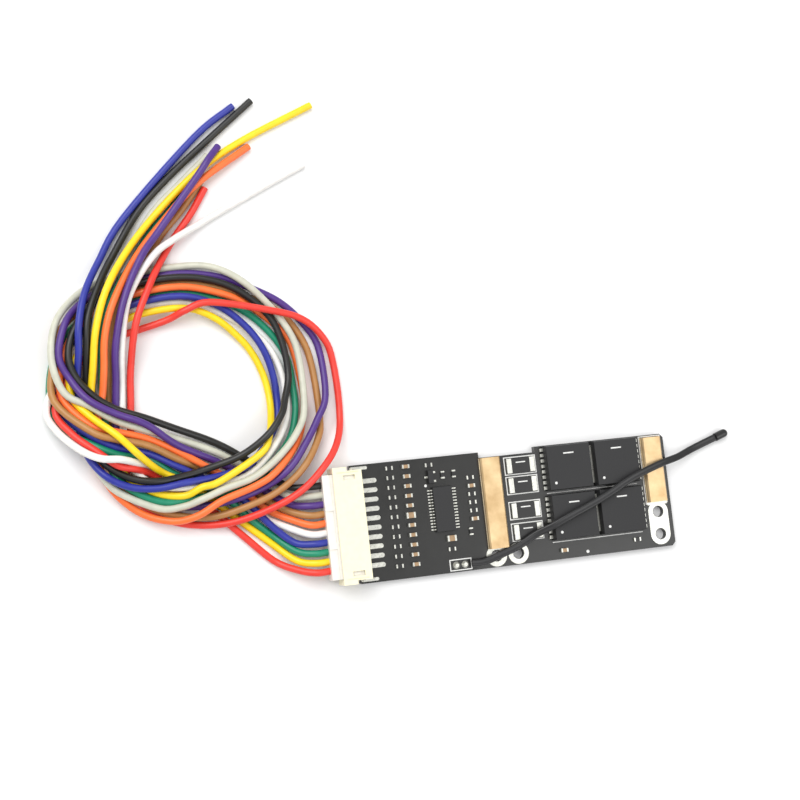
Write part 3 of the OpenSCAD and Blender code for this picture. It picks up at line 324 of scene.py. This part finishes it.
def smooth_path(points, steps):
    """The smooth curve through the points that the solids follow."""
    p = [2 * points[0] - points[1], *points, 2 * points[-1] - points[-2]]
    path = []
    for i in range(len(points) - 1):
        a, b, c, d = p[i:i + 4]
        for s in range(steps):
            t = s / steps
            path.append(0.5 * (2 * b + (c - a) * t + (2 * a - 5 * b + 4 * c - d) * t ** 2
                               + (3 * b - 3 * c + d - a) * t ** 3))
    return [*path, points[-1]]


def sweep(name, path, profile):
    """A closed tube along the path; the profile holds (across, up) pairs."""
    verts, faces, n = [], [], len(profile)
    for i, centre in enumerate(path):
        ahead = (path[min(i + 1, len(path) - 1)] - path[max(i - 1, 0)]).normalized()
        across = Vector((0, 0, 1)).cross(ahead).normalized()
        up = ahead.cross(across)
        verts += [centre + across * a + up * b for a, b in profile]
    for i in range(len(path) - 1):
        for k in range(n):
            a, b = i * n + k, i * n + (k + 1) % n
            faces.append((a, a + n, b + n, b))
    faces.append(tuple(range(n)))
    faces.append(tuple(reversed(range(len(verts) - n, len(verts)))))
    mesh = bpy.data.meshes.new(name)
    mesh.from_pydata([tuple(v) for v in verts], [], faces)
    piece = bpy.data.objects.new(name, mesh)
    bpy.context.collection.objects.link(piece)
    deselect()
    piece.select_set(True)
    bpy.context.view_layer.objects.active = piece
    bpy.ops.object.mode_set(mode="EDIT")
    bpy.ops.mesh.select_all(action="SELECT")
    bpy.ops.mesh.normals_make_consistent(inside=False)
    bpy.ops.object.mode_set(mode="OBJECT")
    bpy.ops.object.shade_smooth_by_angle(angle=SMOOTH_ANGLE)
    return piece


def joined(name, parts):
    """The parts as one piece, with its place in its mesh."""
    deselect()
    for part in parts:
        part.select_set(True)
    bpy.context.view_layer.objects.active = parts[0]
    bpy.ops.object.join()
    piece = bpy.context.object
    piece.name = name
    bpy.ops.object.transform_apply(location=True, rotation=True, scale=True)
    return piece


def block(x0, y0, x1, y1, z0, z1):
    """A flat block between two corners given in millimetres on the board."""
    deselect()
    low = Vector((BOARD_LOW.x + x0 * MM, BOARD_LOW.y + y0 * MM, z0))
    high = Vector((BOARD_LOW.x + x1 * MM, BOARD_LOW.y + y1 * MM, z1))
    bpy.ops.mesh.primitive_cube_add(size=1, location=(low + high) / 2, scale=high - low)
    return bpy.context.object


def disc(x, y, r, z0, z1):
    """A low round dot on the board, its place and radius in millimetres."""
    deselect()
    place = (BOARD_LOW.x + x * MM, BOARD_LOW.y + y * MM, (z0 + z1) / 2)
    bpy.ops.mesh.primitive_cone_add(vertices=DISC_SIDES, radius1=r * MM, radius2=r * MM,
                                    depth=z1 - z0, location=place)
    return bpy.context.object


def outline(x0, y0, x1, y1, z0, z1):
    """Four white lines round a place on the board."""
    w = settings().silk_line / MM
    return [block(x0, y0, x1, y0 + w, z0, z1), block(x0, y1 - w, x1, y1, z0, z1),
            block(x0, y0 + w, x0 + w, y1 - w, z0, z1), block(x1 - w, y0 + w, x1, y1 - w, z0, z1)]


def on_board(node):
    """The lowest and highest corners of a node in millimetres on the board, and its top's height."""
    low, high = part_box(node)
    corner = Vector((BOARD_LOW.x, BOARD_LOW.y, 0))
    return (low - corner) / MM, (high - corner) / MM, high.z


def dash(node, half, width, inset):
    """A white dash on top of a package, across its middle and near its +Y edge."""
    low, high, top = on_board(node)
    mid = (low.x + high.x) / 2
    return block(mid - half, high.y - inset - width, mid + half, high.y - inset,
                 top, top + settings().silk_t)


class BOARD_OT_stage(bpy.types.Operator):
    """Adds the floor, the soft lamps and the camera"""
    bl_idname = "board.stage"
    bl_label = "Stage"

    def execute(self, context):
        deselect()
        bpy.ops.mesh.primitive_plane_add(size=FLOOR_SIZE, location=(0, 0, -FLOOR_DROP))
        floor = context.object
        floor.name = "floor"
        mat = bpy.data.materials.new("floor")
        mat.use_nodes = True
        shader = mat.node_tree.nodes["Principled BSDF"]
        shader.inputs["Base Color"].default_value = (*settings().floor_colour, 1)
        shader.inputs["Roughness"].default_value = FLOOR_ROUGHNESS
        wear(floor, mat)
        world = bpy.data.worlds.new("studio")
        context.scene.world = world
        world.use_nodes = True
        backdrop = world.node_tree.nodes["Background"]
        backdrop.inputs["Color"].default_value = (1, 1, 1, 1)
        backdrop.inputs["Strength"].default_value = WORLD_STRENGTH
        for place, power in LAMPS:
            deselect()
            bpy.ops.object.light_add(type="AREA", location=place)
            lamp = context.object
            lamp.data.size = LAMP_SIZE
            lamp.data.energy = power
            lamp.rotation_euler = (-Vector(place)).to_track_quat("-Z", "Y").to_euler()
        deselect()
        bpy.ops.object.camera_add()
        camera = context.object
        turn = Euler([math.radians(a) for a in CAMERA_TURN]).to_matrix().to_4x4()
        camera.matrix_world = Matrix.Translation(Vector(CAMERA_PLACE) * MM) @ turn
        camera.data.lens = CAMERA_LENS
        camera.data.sensor_width = CAMERA_SENSOR
        camera.data.clip_start = CAMERA_NEAR
        context.scene.camera = camera
        context.scene.view_settings.view_transform = "Standard"
        return {"FINISHED"}


class BOARD_OT_leads(bpy.types.Operator):
    """Adds the ten leads of the harness"""
    bl_idname = "board.leads"
    bl_label = "Leads"

    def execute(self, context):
        d = settings().lead_d
        ring = [(math.cos(a) * d / 2, math.sin(a) * d / 2)
                for a in (math.tau * k / LEAD_SIDES for k in range(LEAD_SIDES))]
        for i, (name, colour) in enumerate(LEADS.items()):
            rear = Vector((PLUG_LOW.x, FIRST_WAY_Y - i * WAY_PITCH, LEAD_EXIT_Z))
            laid = [Vector((x * MM, y * MM, lift * MM + d / 2)) for x, y, lift in ROUTES[name]]
            path = smooth_path([rear, rear - Vector((LEAD_STRAIGHT, 0, 0)), *laid], CURVE_STEPS)
            for p in path:
                p.z = max(p.z, d / 2)
            piece = sweep(name + "_insulation", path, ring)
            wear(piece, finish_material(name + "_insulation", colour, 0.38, speckle=0.07, scale=500.0,
                                        bump=0.25))
            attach(piece, "root")
            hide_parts("lead_" + name)
        return {"FINISHED"}


class BOARD_OT_probe(bpy.types.Operator):
    """Adds the twin lead of the temperature probe"""
    bl_idname = "board.probe"
    bl_label = "Probe lead"

    def execute(self, context):
        w = settings().twin_w
        r = w / 4
        profile = []
        for side, start in TWIN_ARCS:
            for k in range(TWIN_ARC_POINTS):
                a = math.radians(start + TWIN_ARC_TURN * k)
                profile.append((side * r + math.cos(a) * r, math.sin(a) * r))
        path = smooth_path([Vector(p) * MM for p in TWIN_ROUTE], CURVE_STEPS)
        piece = sweep("twin_insulation", path, profile)
        wear(piece, finish_material("twin_insulation", (0.012, 0.012, 0.013), 0.35, bump=0.2))
        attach(piece, "root")
        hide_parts("probe_lead")
        return {"FINISHED"}


class BOARD_OT_silkscreen(bpy.types.Operator):
    """Prints the white outlines on the board and the marks on the packages"""
    bl_idname = "board.silkscreen"
    bl_label = "Silkscreen"

    def execute(self, context):
        z0 = BOARD_HIGH.z
        z1 = z0 + settings().silk_t
        ink = []
        for node in ("fet_body_1", "fet_body_3"):
            low, high, _ = on_board(node)
            line_y = low.y - FET_LINE_GAP
            ink.append(block(low.x, line_y - FET_LINE_W, high.x + FET_LINE_PAST, line_y, z0, z1))
        for k in range(1, 5):
            low, high, _ = on_board(f"shunt_body_{k}")
            ink += outline(low.x - SHUNT_CLEAR_X, low.y - SHUNT_CLEAR_Y,
                           high.x + SHUNT_CLEAR_X, high.y + SHUNT_CLEAR_Y, z0, z1)
        low, high, _ = on_board("chip_body")
        ink.append(disc(low.x - CHIP_DOT_X, high.y + CHIP_DOT_Y, DOT_R, z0, z1))
        low, high, _ = on_board("probe_joints")
        ink += outline(low.x - PROBE_CLEAR_X, PROBE_BOX_Y,
                       high.x + PROBE_CLEAR_X, high.y + PROBE_CLEAR_Y, z0, z1)
        low, high, _ = on_board("bus_bar_pack")
        ink += outline(low.x - BAR_CLEAR, low.y - BAR_CLEAR,
                       high.x + BAR_CLEAR, high.y + BAR_CLEAR, z0, z1)
        ink.append(disc(high.x - EDGE_DOT_X, EDGE_DOT_Y, EDGE_DOT_R, z0, z1))
        self.mark("silkscreen", ink)
        marks = []
        for k in range(1, 5):
            marks.append(dash(f"fet_body_{k}", *FET_DASH))
            low, _, top = on_board(f"fet_body_{k}")
            marks.append(disc(low.x + FET_DOT_INSET, low.y + FET_DOT_INSET, DOT_R,
                              top, top + settings().silk_t))
            marks.append(dash(f"shunt_body_{k}", *SHUNT_DASH))
        self.mark("package_marks", marks)
        return {"FINISHED"}

    def mark(self, name, parts):
        piece = joined(name, parts)
        wear(piece, finish_material(name, (0.72, 0.72, 0.7), 0.6, speckle=0.15, scale=2500.0))
        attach(piece, "root")


class BOARD_OT_finishes(bpy.types.Operator):
    """Gives every solid of the board its finish"""
    bl_idname = "board.finishes"
    bl_label = "Finishes"

    def execute(self, context):
        mask = settings().mask_colour
        looks = {
            "solder_mask": finish_material("solder_mask", mask, 0.32, scale=350.0, bump=0.15, coat=0.2),
            "tin": finish_material("tin", (0.68, 0.68, 0.62), 0.3, metal=0.85, scale=1400.0, bump=0.3),
            "copper": finish_material("copper", (0.62, 0.41, 0.2), 0.36, metal=0.75, scale=260.0,
                                      second=(0.8, 0.6, 0.34), bump=0.2),
            "ivory_nylon": finish_material("ivory_nylon", (0.9, 0.84, 0.6), 0.45, speckle=0.04, bump=0.12),
            "white_nylon": finish_material("white_nylon", (0.8, 0.77, 0.71), 0.45, speckle=0.04, bump=0.12),
            "epoxy": finish_material("epoxy", (0.016, 0.016, 0.017), 0.6, scale=3000.0, bump=0.5),
            "resistor_glaze": finish_material("resistor_glaze", (0.014, 0.014, 0.014), 0.35, bump=0.1),
            "ceramic": finish_material("ceramic", (0.34, 0.22, 0.12), 0.5, scale=1800.0),
            "probe_black": finish_material("probe_black", (0.014, 0.014, 0.014), 0.3),
        }
        for part in frame["record"]["subparts"]:
            if part["material_slot"] in looks:
                node = frame["nodes"][part["node"]]
                for slot in node.material_slots:
                    slot.material = looks[part["material_slot"]]
                if not node.material_slots:
                    wear(node, looks[part["material_slot"]])
        return {"FINISHED"}


class BOARD_PT_panel(bpy.types.Panel):
    """Lists the steps that dress the board"""
    bl_label = "Board"
    bl_idname = "BOARD_PT_panel"
    bl_space_type = "VIEW_3D"
    bl_region_type = "UI"
    bl_category = "Board"

    def draw(self, context):
        for step in STEPS:
            self.layout.operator(step.bl_idname)


STEPS = (BOARD_OT_stage, BOARD_OT_leads, BOARD_OT_probe, BOARD_OT_silkscreen, BOARD_OT_finishes)


def register():
    for item in (BoardSettings, *STEPS, BOARD_PT_panel):
        bpy.utils.register_class(item)
    bpy.types.Scene.board_settings = bpy.props.PointerProperty(type=BoardSettings)


def unregister():
    del bpy.types.Scene.board_settings
    for item in reversed((BoardSettings, *STEPS, BOARD_PT_panel)):
        bpy.utils.unregister_class(item)


def main():
    register()
    for step in STEPS:
        group, name = step.bl_idname.split(".")
        getattr(getattr(bpy.ops, group), name)()


if __name__ == "__main__":
    main()
